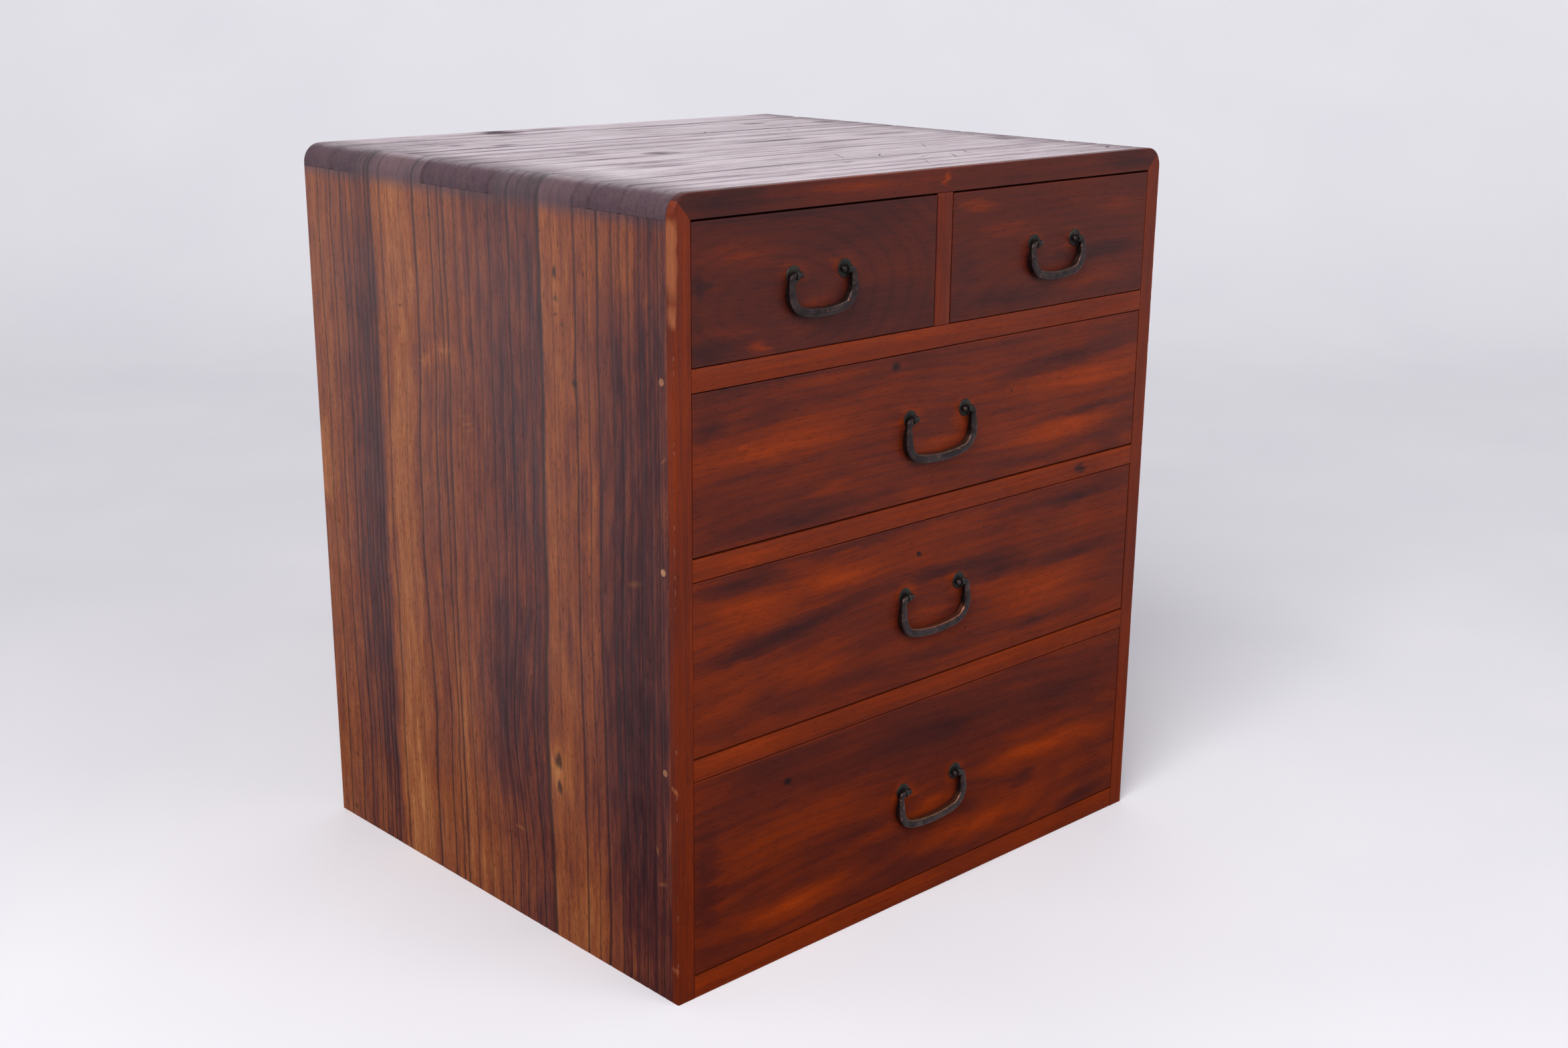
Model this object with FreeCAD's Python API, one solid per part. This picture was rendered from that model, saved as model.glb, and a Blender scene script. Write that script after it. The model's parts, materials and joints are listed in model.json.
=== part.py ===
import FreeCAD, Part
import math
import os

os.makedirs("parts", exist_ok=True)

# A small chest of drawers: a pegged board case with two small drawers over three wide
# ones, each opened by a forged bail. Millimetres, +Z up, front towards -Y, and the
# origin at the middle of the case's footprint on the floor.

# Case boards
case_width = 410.0
case_depth = 360.0
side_thickness = 12.2
top_thickness = 13.8
bottom_thickness = 13.5
shelf_thickness = 12.8
partition_thickness = 12.8
back_thickness = 7.0

# Heights of the drawer openings, from the floor up
bottom_opening = 119.8
third_opening = 102.8
second_opening = 90.7
small_opening = 77.2

# Strips of harder wood that face the boards' front edges
facing_thickness = 5.0
facing_seam = 0.2            # joint line at each end of a rail

# Edges and joints of the case
corner_radius = 12.0         # rounding of the two long top edges
arris_radius = 0.8           # worn easing of the outer edges
# Where the fingers of the comb at each top corner end, from the facing to the back face.
# The first and last are cut on the top board.
finger_end_shares = (0.216901, 0.42169, 0.626479, 0.831268, 1)
housing_depth = 4.0          # shelves let into the sides, partition into top and shelf
bottom_lap = 5.0             # bottom board let into the sides
back_lap = 6.0               # back boards let into the boards around them
back_board_count = 3
back_tongue = 5.0            # each back board laps the next one by this much
back_seam = 0.4              # open joint between back boards

# Wooden pegs
peg_clearance = 0.02         # radial, in every peg hole
case_peg_diameter = 4.0
case_peg_length = 20.0
case_peg_inset = 4.6         # from the boards' front edge to a side peg's centre
back_peg_shares = (-0.42, -0.14, 0.14, 0.42)
drawer_peg_diameter = 3.0
drawer_peg_length = 16.0
corner_peg_shares = (0.2, 0.5, 0.8)
rim_peg_shares = (0.12, 0.5, 0.88)
end_peg_shares = (0.25, 0.75)

# Drawers
side_gap = 0.6               # each side of a drawer that sits centrally
small_top_gap = 1.2
wide_top_gap = 0.5
bottom_gap = 0.3
small_front_lift = 0.2       # the front's lower edge stands this much above the drawer's bottom
wide_front_lift = 0.8
stop_gap = 0.5               # behind a closed drawer
front_thickness = 13.0
front_skin = 6.0             # wood left in front of the laps
drawer_side_thickness = 8.0
drawer_back_thickness = 8.0
drawer_bottom_thickness = 6.0
drawer_back_housing = 3.5    # back let into the drawer's sides
side_drop = 1.5              # sides stand this much lower than the front
back_drop = 4.0
front_edge_radius = 0.6

# Pulls: a round back plate and a split pin carry each end of the bail
plate_diameter = 10.6
plate_thickness = 0.7
plate_round = 0.45
eye_diameter = 5.0
eye_bore = 2.8
eye_width = 2.0
eye_round = 0.4
eye_bite = 0.3               # depth to which an eye sinks into its plate
pin_slit = 0.3               # between the two legs of a split pin
pin_tip_length = 7.0
pin_tip_thickness = 1.0
pin_hole_clearance = 0.1
small_pull_span = 39.0       # eye to eye
wide_pull_span = 48.0

# Bails
bail_clearance = 0.1         # radial, in the eye
bail_play = 0.3              # along the axis, each side of an eye
knob_diameter = 3.6
bend_radius = 3.0
neck_size = 3.6
neck_round = 1.6
bar_height = 5.0
bar_depth = 4.4
bar_round = 0.9
bail_corner_radius = 11.0
bow_angle = 12.0             # degrees, half the sweep of the bowed grip

# How far a drawer that isn't central sits to one side of its opening, and each drawer's
# pull: shift from the opening's middle, rise above it, and drop from the eyes to the
# middle of the grip
top_left_shift = -1.4
top_left_rise = 3.3
top_left_drop = 21.7
top_right_sit = 0.3
top_right_shift = 1.0
top_right_rise = 2.1
top_right_drop = 20.7
second_shift = -1.1
second_rise = 5.9
second_drop = 25.6
third_sit = -0.3
third_shift = -1.5
third_rise = 6.8
third_drop = 25.2
bottom_sit = -0.15
bottom_shift = 1.2
bottom_rise = 3.2
bottom_drop = 23.8

cut_overrun = 1.0            # a cutter reaches this far past the face it opens
match_tolerance = 0.02       # two places this close count as the same

# Places worked out from the sizes above
half_width = case_width / 2
inner_x = half_width - side_thickness
front_y = -case_depth / 2
back_y = case_depth / 2
board_front = front_y + facing_thickness
panel_front = back_y - back_thickness
half_partition = partition_thickness / 2
bottom_level = bottom_thickness
lower_shelf_level = bottom_level + bottom_opening
third_level = lower_shelf_level + shelf_thickness
middle_shelf_level = third_level + third_opening
second_level = middle_shelf_level + shelf_thickness
upper_shelf_level = second_level + second_opening
small_level = upper_shelf_level + shelf_thickness
top_level = small_level + small_opening
case_height = top_level + top_thickness
shelf_levels = {
    "lower": lower_shelf_level,
    "middle": middle_shelf_level,
    "upper": upper_shelf_level,
}
eye_stand = plate_thickness + eye_diameter / 2 - eye_bite
bail_pin_radius = eye_bore / 2 - bail_clearance
arm_offset = eye_width / 2 + bail_play + bend_radius

vector = FreeCAD.Vector
x_axis = vector(1, 0, 0)
y_axis = vector(0, 1, 0)
z_axis = vector(0, 0, 1)
centre = vector(0, 0, 0)


def box(x0, y0, z0, x1, y1, z1):
    return Part.makeBox(x1 - x0, y1 - y0, z1 - z0, vector(x0, y0, z0))


def prism(points, y0, y1):
    # An outline in the XZ plane, drawn out from y0 to y1
    corners = [vector(x, y0, z) for x, z in points]
    face = Part.Face(Part.makePolygon(corners + corners[:1]))
    return face.extrude(y_axis * (y1 - y0))


def mirrored(shape):
    return shape.mirror(centre, x_axis)


def single(shape):
    # The one solid of a finished board or forging
    return shape.removeSplitter().Solids[0]


def near(a, b):
    return math.isclose(a, b, abs_tol=match_tolerance)


def case_envelope():
    # The whole case as one block with its long top edges rounded and its arrises eased
    block = box(-half_width, front_y, 0, half_width, back_y, case_height)
    long_edges = []
    for edge in block.Edges:
        ends = edge.Vertexes
        level = all(near(end.Z, case_height) for end in ends)
        outer = all(near(abs(end.X), half_width) for end in ends)
        if level and outer and near(ends[0].X, ends[1].X):
            long_edges.append(edge)
    block = block.makeFillet(corner_radius, long_edges)
    arrises = []
    for edge in block.Edges:
        low, high = edge.BoundBox.YMin, edge.BoundBox.YMax
        at_front = near(low, front_y) and near(high, front_y)
        at_back = near(low, back_y) and near(high, back_y)
        on_floor = near(edge.BoundBox.ZMax, 0)
        if (at_front or at_back) and not on_floor:
            arrises.append(edge)
    return block.makeFillet(arris_radius, arrises)


def finger_boxes(first):
    # Every second finger of the comb, counted from the front, as boxes over one corner
    depth = back_y - board_front
    ends = [board_front + depth * share for share in finger_end_shares]
    starts = [board_front] + ends[:-1]
    out = -half_width - cut_overrun
    high = case_height + cut_overrun
    boxes = []
    for start, end in list(zip(starts, ends))[first::2]:
        boxes.append(box(out, start, top_level, -inner_x, end, high))
    return boxes


def panel_space():
    # The rebate that the back boards lie in
    reach = inner_x + back_lap
    low = bottom_level - back_lap
    high = top_level + back_lap
    return box(-reach, panel_front, low, reach, back_y + cut_overrun, high)


def shelf_board(level):
    reach = inner_x + housing_depth
    return box(-reach, board_front, level, reach, panel_front, level + shelf_thickness)


def bottom_board():
    reach = inner_x + bottom_lap
    return box(-reach, board_front, 0, reach, back_y, bottom_thickness)


def partition_board():
    low = small_level - housing_depth
    high = top_level + housing_depth
    return box(-half_partition, board_front, low, half_partition, panel_front, high)


def back_boards():
    # Lying boards that lap each other, lowest first
    reach = inner_x + back_lap
    low = bottom_level - back_lap
    rise = (top_level + back_lap - low) / back_board_count
    lap_face = panel_front + back_thickness / 2
    boards = []
    tongue = None
    for index in range(back_board_count):
        start = low + rise * index
        is_last = index == back_board_count - 1
        end = start + rise if is_last else start + rise - back_seam
        board = box(-reach, panel_front, start, reach, back_y, end)
        if tongue is not None:
            board = board.cut(tongue)
        if not is_last:
            lip = start + rise + back_tongue
            tongue = box(-reach, panel_front, end, reach, lap_face, lip)
            board = board.fuse(tongue)
        boards.append(board)
    return boards


def mitred_rail_outline():
    return [
        (-half_width, case_height),
        (-inner_x, top_level),
        (inner_x, top_level),
        (half_width, case_height),
    ]


def facing_strips(envelope):
    # Stiles and top rail meet in mitres, the other strips butt between them
    rail_prism = prism(mitred_rail_outline(), front_y, board_front)
    stile_space = box(-half_width, front_y, 0, -inner_x, board_front, case_height)
    stile = envelope.common(stile_space).cut(rail_prism)
    reach = inner_x - facing_seam
    strips = {
        "left_stile": stile,
        "right_stile": mirrored(stile),
        "top_rail": envelope.common(rail_prism),
        "bottom_rail": box(-reach, front_y, 0, reach, board_front, bottom_thickness),
    }
    for name, level in shelf_levels.items():
        high = level + shelf_thickness
        strips[name + "_rail"] = box(-reach, front_y, level, reach, board_front, high)
    low = small_level + facing_seam
    high = top_level - facing_seam
    strips["divider_strip"] = box(-half_partition, front_y, low, half_partition, board_front, high)
    return strips


def peg(place, diameter, length):
    start, direction = place
    return Part.makeCylinder(diameter / 2, length, start, direction)


def peg_holes(places, diameter, length):
    holes = []
    for start, direction in places:
        mouth = start - direction * cut_overrun
        radius = diameter / 2 + peg_clearance
        holes.append(Part.makeCylinder(radius, length + cut_overrun, mouth, direction))
    return holes


def case_peg_places():
    # One through each side into each shelf, and a row through the back at every board
    places = []
    side_y = board_front + case_peg_inset
    for level in shelf_levels.values():
        middle = level + shelf_thickness / 2
        places.append((vector(-half_width, side_y, middle), x_axis))
        places.append((vector(half_width, side_y, middle), -x_axis))
    rows = [level + shelf_thickness / 2 for level in shelf_levels.values()]
    rows = [bottom_level - back_lap / 2] + rows + [top_level + back_lap / 2]
    for row in rows:
        for share in back_peg_shares:
            places.append((vector(case_width * share, back_y, row), -y_axis))
    return places


def make_case():
    envelope = case_envelope()
    shelves = {name: shelf_board(level) for name, level in shelf_levels.items()}
    bottom = bottom_board()
    partition = partition_board()
    panel = panel_space()

    side_space = box(-half_width, board_front, 0, -inner_x, back_y, case_height)
    side = envelope.common(side_space).cut(finger_boxes(0) + [bottom, panel] + list(shelves.values()))
    top_space = box(-half_width, board_front, top_level, half_width, back_y, case_height)
    side_fingers = finger_boxes(1)
    side_fingers += [mirrored(finger) for finger in side_fingers]
    top = envelope.common(top_space).cut(side_fingers + [panel, partition])
    shelves["upper"] = shelves["upper"].cut(partition)

    nodes = {
        "left_side": side,
        "right_side": mirrored(side),
        "top_board": top,
        "bottom_board": bottom.cut(panel),
        "partition": partition,
    }
    for name, shelf in shelves.items():
        nodes[name + "_shelf"] = shelf
    for index, board in enumerate(back_boards()):
        nodes["back_board_" + str(index + 1)] = board

    places = case_peg_places()
    holes = peg_holes(places, case_peg_diameter, case_peg_length)
    for name, board in nodes.items():
        nodes[name] = single(board.cut(holes))
    for name, strip in facing_strips(envelope).items():
        nodes[name] = single(strip)
    pegs = [peg(place, case_peg_diameter, case_peg_length) for place in places]
    nodes["case_pegs"] = Part.makeCompound(pegs)
    return nodes


def drawer_front(x0, z0, x1, z1, rim):
    # A board lapped over the ends of the sides and over the bottom's front edge; rim is
    # the top of the bottom board
    inner_y = front_y + front_thickness
    board = box(x0, front_y, z0, x1, inner_y, z1)
    face_edges = []
    for edge in board.Edges:
        if near(edge.BoundBox.YMax, front_y):
            face_edges.append(edge)
    board = board.makeFillet(front_edge_radius, face_edges)
    lap_y = front_y + front_skin
    past = inner_y + cut_overrun
    left = x0 + drawer_side_thickness
    right = x1 - drawer_side_thickness
    out = x0 - cut_overrun
    far = x1 + cut_overrun
    under = z0 - cut_overrun
    over = z1 + cut_overrun
    left_lap = box(out, lap_y, under, left, past, over)
    right_lap = box(right, lap_y, under, far, past, over)
    bottom_rebate = box(out, lap_y, under, far, past, rim)
    return board.cut([left_lap, right_lap, bottom_rebate])


def drawer_peg_places(x0, z0, x1, z1, rear):
    # Through the sides into front and back, and up through the bottom all round
    rim = z0 + drawer_bottom_thickness
    height = z1 - side_drop - rim
    lap_y = front_y + front_skin
    front_row = front_y + (front_skin + front_thickness) / 2
    back_row = rear - drawer_back_thickness / 2
    places = []
    for share in corner_peg_shares:
        level = rim + height * share
        for row in (front_row, back_row):
            places.append((vector(x0, row, level), x_axis))
            places.append((vector(x1, row, level), -x_axis))
    left = x0 + drawer_side_thickness / 2
    right = x1 - drawer_side_thickness / 2
    for share in rim_peg_shares:
        row = lap_y + (rear - lap_y) * share
        for column in (left, right):
            places.append((vector(column, row, z0), z_axis))
    for share in end_peg_shares:
        column = x0 + (x1 - x0) * share
        for row in (front_row, back_row):
            places.append((vector(column, row, z0), z_axis))
    return places


def split_pin(x, y, z, wall):
    # A strip bent round the bail's pin, its two legs run through the front and spread
    # along its inner face; y is the front's outer face and wall its thickness
    radius = eye_diameter / 2
    eye_y = y - eye_stand
    start = vector(x - eye_width / 2, eye_y, z)
    ring = Part.makeCylinder(radius, eye_width, start, x_axis)
    rims = [edge for edge in ring.Edges if near(edge.BoundBox.XLength, 0)]
    ring = ring.makeFillet(eye_round, rims)
    inner_y = y + wall
    tip_y = inner_y + pin_tip_thickness
    half = eye_width / 2
    shank = box(x - half, eye_y, z - half, x + half, tip_y, z + half)
    reach = pin_tip_length
    tips = box(x - half, inner_y, z - reach, x + half, tip_y, z + reach)
    bore_start = vector(x - eye_width, eye_y, z)
    bore = Part.makeCylinder(eye_bore / 2, eye_width * 2, bore_start, x_axis)
    half_slit = pin_slit / 2
    slit = box(x - eye_width, eye_y, z - half_slit, x + eye_width, tip_y + cut_overrun, z + half_slit)
    return single(ring.fuse([shank, tips]).cut([bore, slit]))


def back_plate(x, y, z, pin):
    radius = plate_diameter / 2
    disc = Part.makeCylinder(radius, plate_thickness, vector(x, y, z), -y_axis)
    rim = [edge for edge in disc.Edges if near(edge.BoundBox.YMax, y - plate_thickness)]
    return single(disc.makeFillet(plate_round, rim).cut(pin))


def pin_hole(x, y, z, wall):
    radius = math.hypot(eye_width, eye_width) / 2 + pin_hole_clearance
    start = vector(x, y - cut_overrun, z)
    return Part.makeCylinder(radius, wall + cut_overrun * 2, start, y_axis)


def rounded_section(x, z, width, depth, radius, tilt):
    # A rounded rectangle centred at (x, 0, z): width in the bail's plane, depth along Y.
    # At tilt 0 it lies level, and it turns about Y by tilt degrees.
    half_w = width / 2
    half_d = depth / 2
    flat_w = half_w - radius
    flat_d = half_d - radius
    corner = radius * math.sqrt(0.5)
    quarters = [(1, 1), (-1, 1), (-1, -1), (1, -1)]
    arcs = []
    for index, (a, b) in enumerate(quarters):
        middle = (a * (flat_w + corner), b * (flat_d + corner))
        on_side = (a * half_w, b * flat_d)
        on_end = (a * flat_w, b * half_d)
        ends = (on_side, on_end) if index % 2 == 0 else (on_end, on_side)
        arcs.append((ends[0], middle, ends[1]))
    edges = []
    for index, (start, middle, end) in enumerate(arcs):
        points = [vector(u, v, 0) for u, v in (start, middle, end)]
        edges.append(Part.Arc(*points).toShape())
        following = arcs[(index + 1) % len(arcs)][0]
        edges.append(Part.makeLine(points[2], vector(following[0], following[1], 0)))
    wire = Part.Wire(edges)
    wire.rotate(centre, y_axis, tilt)
    wire.translate(vector(x, 0, z))
    return wire


def half_bail(span, drop):
    # The bail's +X half about its axis: knob, pin through the eye, bend, swelling arm
    # and corner, ending where the bowed grip begins
    eye_x = span / 2
    arm_x = eye_x + arm_offset
    corner_x = arm_x - bail_corner_radius
    bow = math.radians(bow_angle)
    bow_radius = corner_x / math.sin(bow) + bail_corner_radius
    sag = (bow_radius - bail_corner_radius) * (1 - math.cos(bow))
    corner_z = bail_corner_radius + sag - drop

    knob_x = eye_x - eye_width / 2 - bail_play - knob_diameter / 2
    knob = Part.makeSphere(knob_diameter / 2, vector(knob_x, 0, 0), x_axis)
    bend_x = arm_x - bend_radius
    pin = Part.makeCylinder(bail_pin_radius, bend_x - knob_x, vector(knob_x, 0, 0), x_axis)
    neck = Part.Face(rounded_section(bend_x, 0, neck_size, neck_size, neck_round, 90))
    bend = neck.revolve(vector(bend_x, 0, -bend_radius), y_axis, 90)
    upper = rounded_section(arm_x, -bend_radius, neck_size, neck_size, neck_round, 0)
    lower = rounded_section(arm_x, corner_z, bar_height, bar_depth, bar_round, 0)
    arm = Part.makeLoft([upper, lower], True, True)
    corner_turn = 90 - bow_angle
    corner = Part.Face(lower).revolve(vector(corner_x, 0, corner_z), y_axis, corner_turn)
    grip_z = corner_z + (bow_radius - bail_corner_radius) * math.cos(bow)
    grip_start = rounded_section(arm_x, corner_z, bar_height, bar_depth, bar_round, 0)
    grip_start.rotate(vector(corner_x, 0, corner_z), y_axis, corner_turn)
    grip = Part.Face(grip_start).revolve(vector(0, 0, grip_z), y_axis, bow_angle)
    return knob.fuse([pin, bend, arm, corner, grip])


def make_bail(x, z, span, drop):
    half = half_bail(span, drop)
    whole = single(half.fuse(mirrored(half)))
    whole.translate(vector(x, front_y - eye_stand, z))
    return whole


def make_drawer(name, opening, fit, pull):
    left, low, right, high = opening
    sit, top_gap, front_lift = fit
    span, shift, rise, drop = pull
    x0 = left + side_gap + sit
    x1 = right - side_gap + sit
    z0 = low + bottom_gap
    z1 = high - top_gap
    rear = panel_front - stop_gap
    rim = z0 + drawer_bottom_thickness
    lap_y = front_y + front_skin

    back_x0 = x0 + drawer_side_thickness - drawer_back_housing
    back_x1 = x1 - drawer_side_thickness + drawer_back_housing
    back_face = rear - drawer_back_thickness
    side_top = z1 - side_drop
    housing = box(back_x0, back_face, rim, back_x1, rear, side_top)
    left_side = box(x0, lap_y, rim, x0 + drawer_side_thickness, rear, side_top).cut(housing)
    right_side = box(x1 - drawer_side_thickness, lap_y, rim, x1, rear, side_top).cut(housing)
    boards = {
        "front": drawer_front(x0, z0 + front_lift, x1, z1, rim),
        "left_side": left_side,
        "right_side": right_side,
        "back": box(back_x0, back_face, rim, back_x1, rear, z1 - back_drop),
        "bottom": box(x0, lap_y, z0, x1, rear, rim),
    }

    pull_x = (left + right) / 2 + shift
    pull_z = (low + high) / 2 + rise
    eyes = (pull_x - span / 2, pull_x + span / 2)
    pin_holes = [pin_hole(eye, front_y, pull_z, front_thickness) for eye in eyes]
    pins = [split_pin(eye, front_y, pull_z, front_thickness) for eye in eyes]
    plates = [back_plate(eye, front_y, pull_z, pin) for eye, pin in zip(eyes, pins)]

    places = drawer_peg_places(x0, z0, x1, z1, rear)
    holes = peg_holes(places, drawer_peg_diameter, drawer_peg_length)
    boards["front"] = boards["front"].cut(pin_holes)
    nodes = {}
    for board_name, board in boards.items():
        nodes[name + "_drawer_" + board_name] = single(board.cut(holes))
    pegs = [peg(place, drawer_peg_diameter, drawer_peg_length) for place in places]
    nodes[name + "_drawer_pegs"] = Part.makeCompound(pegs)
    nodes[name + "_pull_mounts"] = Part.makeCompound(plates + pins)
    nodes[name + "_bail"] = make_bail(pull_x, pull_z, span, drop)
    return nodes


def make_drawers():
    def wide(level, opening):
        return (-inner_x, level, inner_x, level + opening)

    left_small = (-inner_x, small_level, -half_partition, top_level)
    right_small = (half_partition, small_level, inner_x, top_level)
    openings = {
        "top_left": left_small,
        "top_right": right_small,
        "second": wide(second_level, second_opening),
        "third": wide(third_level, third_opening),
        "bottom": wide(bottom_level, bottom_opening),
    }
    fits = {
        "top_left": (0, small_top_gap, small_front_lift),
        "top_right": (top_right_sit, small_top_gap, small_front_lift),
        "second": (0, wide_top_gap, wide_front_lift),
        "third": (third_sit, wide_top_gap, wide_front_lift),
        "bottom": (bottom_sit, wide_top_gap, wide_front_lift),
    }
    pulls = {
        "top_left": (small_pull_span, top_left_shift, top_left_rise, top_left_drop),
        "top_right": (small_pull_span, top_right_shift, top_right_rise, top_right_drop),
        "second": (wide_pull_span, second_shift, second_rise, second_drop),
        "third": (wide_pull_span, third_shift, third_rise, third_drop),
        "bottom": (wide_pull_span, bottom_shift, bottom_rise, bottom_drop),
    }
    nodes = {}
    for name, opening in openings.items():
        nodes.update(make_drawer(name, opening, fits[name], pulls[name]))
    return nodes


def build():
    nodes = make_case()
    nodes.update(make_drawers())
    return nodes


for node_name, node_shape in build().items():
    node_shape.exportStep("parts/" + node_name + ".step")
    print(node_name, round(node_shape.Volume), len(node_shape.Solids), node_shape.isValid())
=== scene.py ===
import json
import math
from functools import partial
from types import SimpleNamespace

import bmesh
import bpy
from mathutils import Matrix, Vector


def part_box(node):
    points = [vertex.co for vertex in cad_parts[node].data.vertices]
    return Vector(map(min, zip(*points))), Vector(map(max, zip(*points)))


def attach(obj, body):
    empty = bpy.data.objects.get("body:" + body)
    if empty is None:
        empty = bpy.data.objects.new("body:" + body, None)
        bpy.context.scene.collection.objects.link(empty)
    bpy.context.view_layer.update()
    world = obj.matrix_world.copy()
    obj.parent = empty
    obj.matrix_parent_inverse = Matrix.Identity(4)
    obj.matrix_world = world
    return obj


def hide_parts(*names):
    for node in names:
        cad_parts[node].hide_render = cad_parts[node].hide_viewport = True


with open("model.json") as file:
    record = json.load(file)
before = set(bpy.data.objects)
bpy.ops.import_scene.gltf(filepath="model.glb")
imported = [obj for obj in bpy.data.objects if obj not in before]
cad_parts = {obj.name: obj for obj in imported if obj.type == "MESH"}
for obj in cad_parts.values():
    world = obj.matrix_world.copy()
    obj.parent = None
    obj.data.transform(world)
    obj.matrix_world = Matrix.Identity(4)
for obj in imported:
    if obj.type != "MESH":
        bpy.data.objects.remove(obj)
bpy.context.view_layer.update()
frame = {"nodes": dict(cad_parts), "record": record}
nodes = frame["nodes"]
bodyOf = {node: body for body, members in frame["record"]["behaviour"]["bodies"].items() for node in members}
slotOf = {row["node"]: row["material_slot"] for row in frame["record"]["subparts"]}
drawerNames = ["top_left", "top_right", "second", "third", "bottom"]
mm = 0.001
print("frame loaded:", len(nodes), "nodes")


# Helpers for node trees and materials

def addNode(tree, kind, inputs=(), operation=None, out=0, **settings):
    # one node with its inputs, as a row or a dictionary, and its settings; gives the output asked for
    node = tree.nodes.new(kind if "Node" in kind else "ShaderNode" + kind)
    if operation:
        node.operation = operation
    for name, value in settings.items():
        setattr(node, name, value)
    for key, value in inputs.items() if isinstance(inputs, dict) else enumerate(inputs):
        if isinstance(value, bpy.types.NodeSocket):
            tree.links.new(value, node.inputs[key])
        else:
            node.inputs[key].default_value = value
    return None if out is None else node.outputs[out]


def hexColour(text):
    parts = [int(text[i:i + 2], 16) / 255 for i in (1, 3, 5)]
    return [c / 12.92 if c <= 0.04045 else ((c + 0.055) / 1.055) ** 2.4 for c in parts] + [1.0]


def setStops(rampOutput, stops):
    # stops as (place from 0 to 1, hex colour or grey value)
    ramp = rampOutput.node.color_ramp
    ramp.elements.remove(ramp.elements[-1])
    for index, (place, value) in enumerate(stops):
        element = ramp.elements.new(place) if index else ramp.elements[0]
        element.position = place
        element.color = hexColour(value) if isinstance(value, str) else (value, value, value, 1)
    return rampOutput


def startMaterial(name, **constants):
    material = bpy.data.materials.new(name)
    material.use_nodes = True
    tree = material.node_tree
    shader = tree.nodes["Principled BSDF"]
    for key, value in constants.items():
        shader.inputs[key].default_value = value
    place = addNode(tree, "TexCoord", out="Object")
    place = addNode(tree, "VectorMath", {0: place, "Scale": 1 / mm}, "SCALE")
    return material, tree, shader, place


def grainSpace(tree, place, along, across):
    # turns a place in mm to (along the grain, across it, through the board)
    through = ({"X", "Y", "Z"} - {along, across}).pop()
    split = addNode(tree, "SeparateXYZ", [place]).node.outputs
    return addNode(tree, "CombineXYZ", {"X": split[along], "Y": split[across], "Z": split[through]})


# a map range that starts and ends softly
smooth = {"interpolation_type": "SMOOTHSTEP"}


def between(value, reads, gives=(0.0, 1.0)):
    # a map range's inputs: a value, the span it reads and the span it gives
    return (value, *reads, *gives)


def addStain(tree, colour, amount, paint, reads=(0.0, 1.0), most=1.0, **settings):
    # lays a paint over a colour where an amount rises through a span
    amount = addNode(tree, "MapRange", between(amount, reads, (0.0, most)), **settings)
    paint = hexColour(paint) if isinstance(paint, str) else paint
    return addNode(tree, "Mix", {0: amount, 6: colour, 7: paint}, out=2, data_type="RGBA")


# a length so great that a pattern doesn't change through a board
throughBoard = 1e4


def addPatches(tree, point, patches, total=0.0):
    # soft ovals added to a value: (along, across, half length, half width, tilt, strength) in mm
    for along, across, halfLength, halfWidth, tilt, strength in patches:
        local = addNode(tree, "Mapping",
                        {"Vector": point, "Location": (along, across, 0),
                         "Rotation": (0, 0, math.radians(tilt)),
                         "Scale": (halfLength, halfWidth, throughBoard)}, vector_type="TEXTURE")
        oval = addNode(tree, "TexGradient", [local], out="Fac", gradient_type="SPHERICAL")
        total = addNode(tree, "Math", (oval, strength, total), "MULTIPLY_ADD")
    return total


def addLayer(tree, point, look, layer):
    # one of a look's noises
    offset, detail, rough = look["layers"][layer]
    seed = look["seed"] + offset
    scale = tuple(1 / size for size in look[layer + "Size"])
    local = addNode(tree, "VectorMath", (point, scale, (seed, seed * 0.7, seed * 1.3)), "MULTIPLY_ADD")
    return addNode(tree, "TexNoise", {"Vector": local, "Scale": 1.0, "Detail": detail, "Roughness": rough})


# Wood: one way of building it, with each board's own figure
# layers as (seed, detail, roughness), sizes in mm along, across and through the grain
woodBuild = {
    "layers": {"wander": (0, 1, 0.5), "streak": (3, 4, 0.6), "cloud": (7, 3, 0.55), "fuzz": (11, 4, 0.6),
               "fibre": (17, 3, 0.6), "pore": (23, 1, 0.5), "smudge": (31, 4, 0.6), "ring": (41, 2, 0.5)},
    "toneLayers": ("streak", "cloud", "fibre"),
    "wanderSize": (160, 60, 60), "fibreSize": (34, 0.55, 0.55), "fuzzSize": (22, 5, 5),
    "ringSize": (900, 1.5, 1.5), "smudgeSize": (45, 45, 45), "raggedness": (24, 24, 0),
    "ringReads": (0.48, 0.66), "poreReads": (0.6, 0.7), "smudgeReads": (0.3, 0.7),
    "waxedHeights": (60, 390), "poreRoughness": 0.35, "fibreHeight": 0.35,
}


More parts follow.
